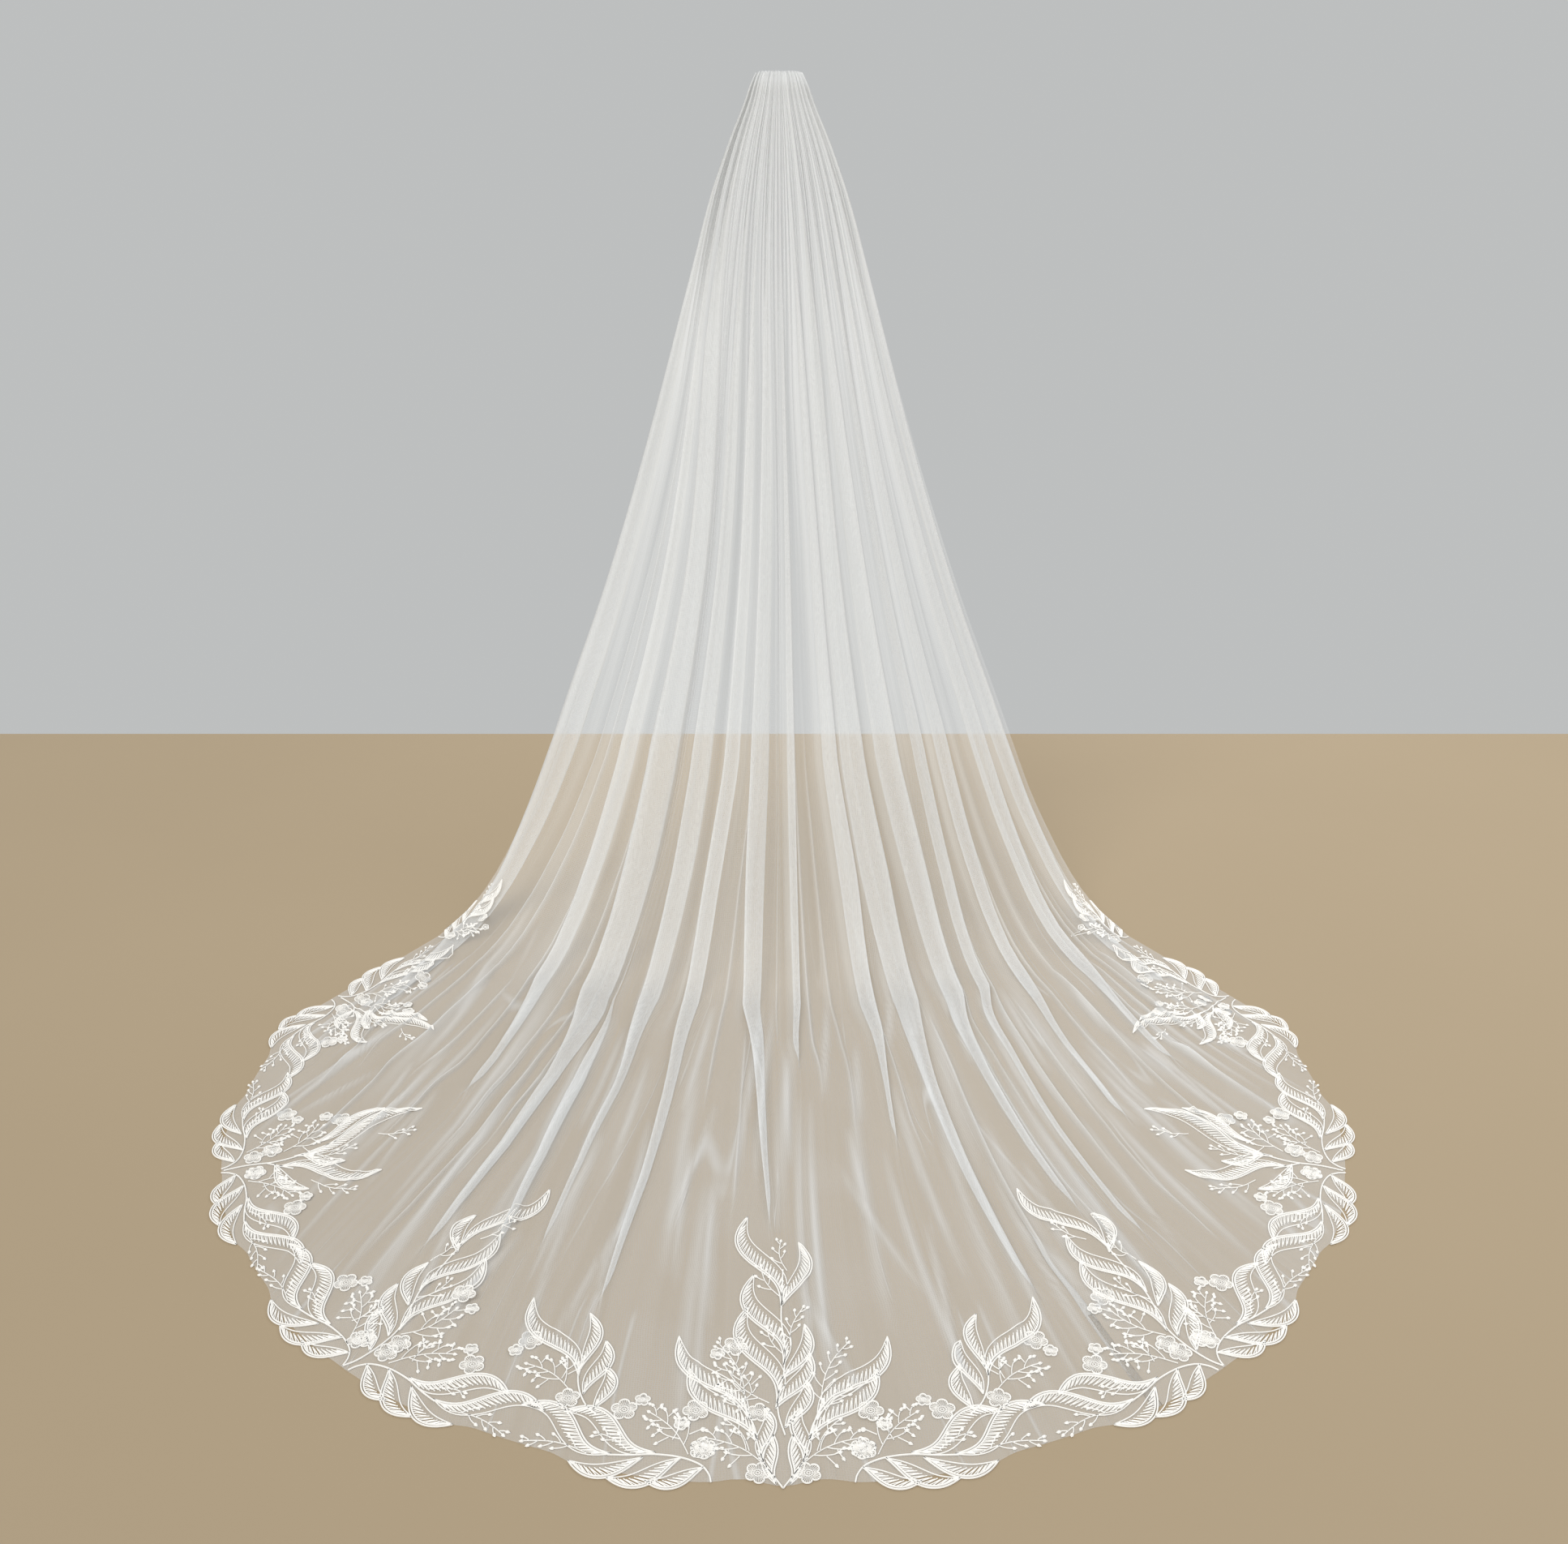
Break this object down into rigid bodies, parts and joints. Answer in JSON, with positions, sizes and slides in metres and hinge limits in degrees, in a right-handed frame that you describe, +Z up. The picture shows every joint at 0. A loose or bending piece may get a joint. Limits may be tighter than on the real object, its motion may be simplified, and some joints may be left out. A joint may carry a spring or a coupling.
{
  "type": "bridal veil",
  "caption": "Cathedral-length bridal veil: one tier of gathered sheer tulle hanging from a hair comb and fanning out into a rounded train edged with leaf and flower lace.",
  "frame": {"origin": "middle of the hair comb's spine, where the wearer's hair holds the veil, 1.6 m above the floor that the train lies on", "axes": "+Z up, +X to the right seen from behind, +Y forwards from the wearer's back to the face, so the train runs towards -Y"},
  "size_m": [1.87, 2.0519, 1.609],
  "materials": {
    "tulle": "sheer soft nylon tulle, matt with a faint sheen",
    "lace": "corded polyester lace applique, matt",
    "comb_resin": "clear moulded resin"
  },
  "bodies": {
    "root": {"tulle_panel": "tulle", "hair_comb": "comb_resin", "lace_centre_spray": "lace", "lace_front_right": "lace", "lace_front_left": "lace", "lace_small_right": "lace", "lace_small_left": "lace", "lace_corner_right": "lace", "lace_corner_left": "lace", "lace_side_right": "lace", "lace_side_left": "lace", "lace_upper_right": "lace", "lace_upper_left": "lace"}
  },
  "joints": []
}
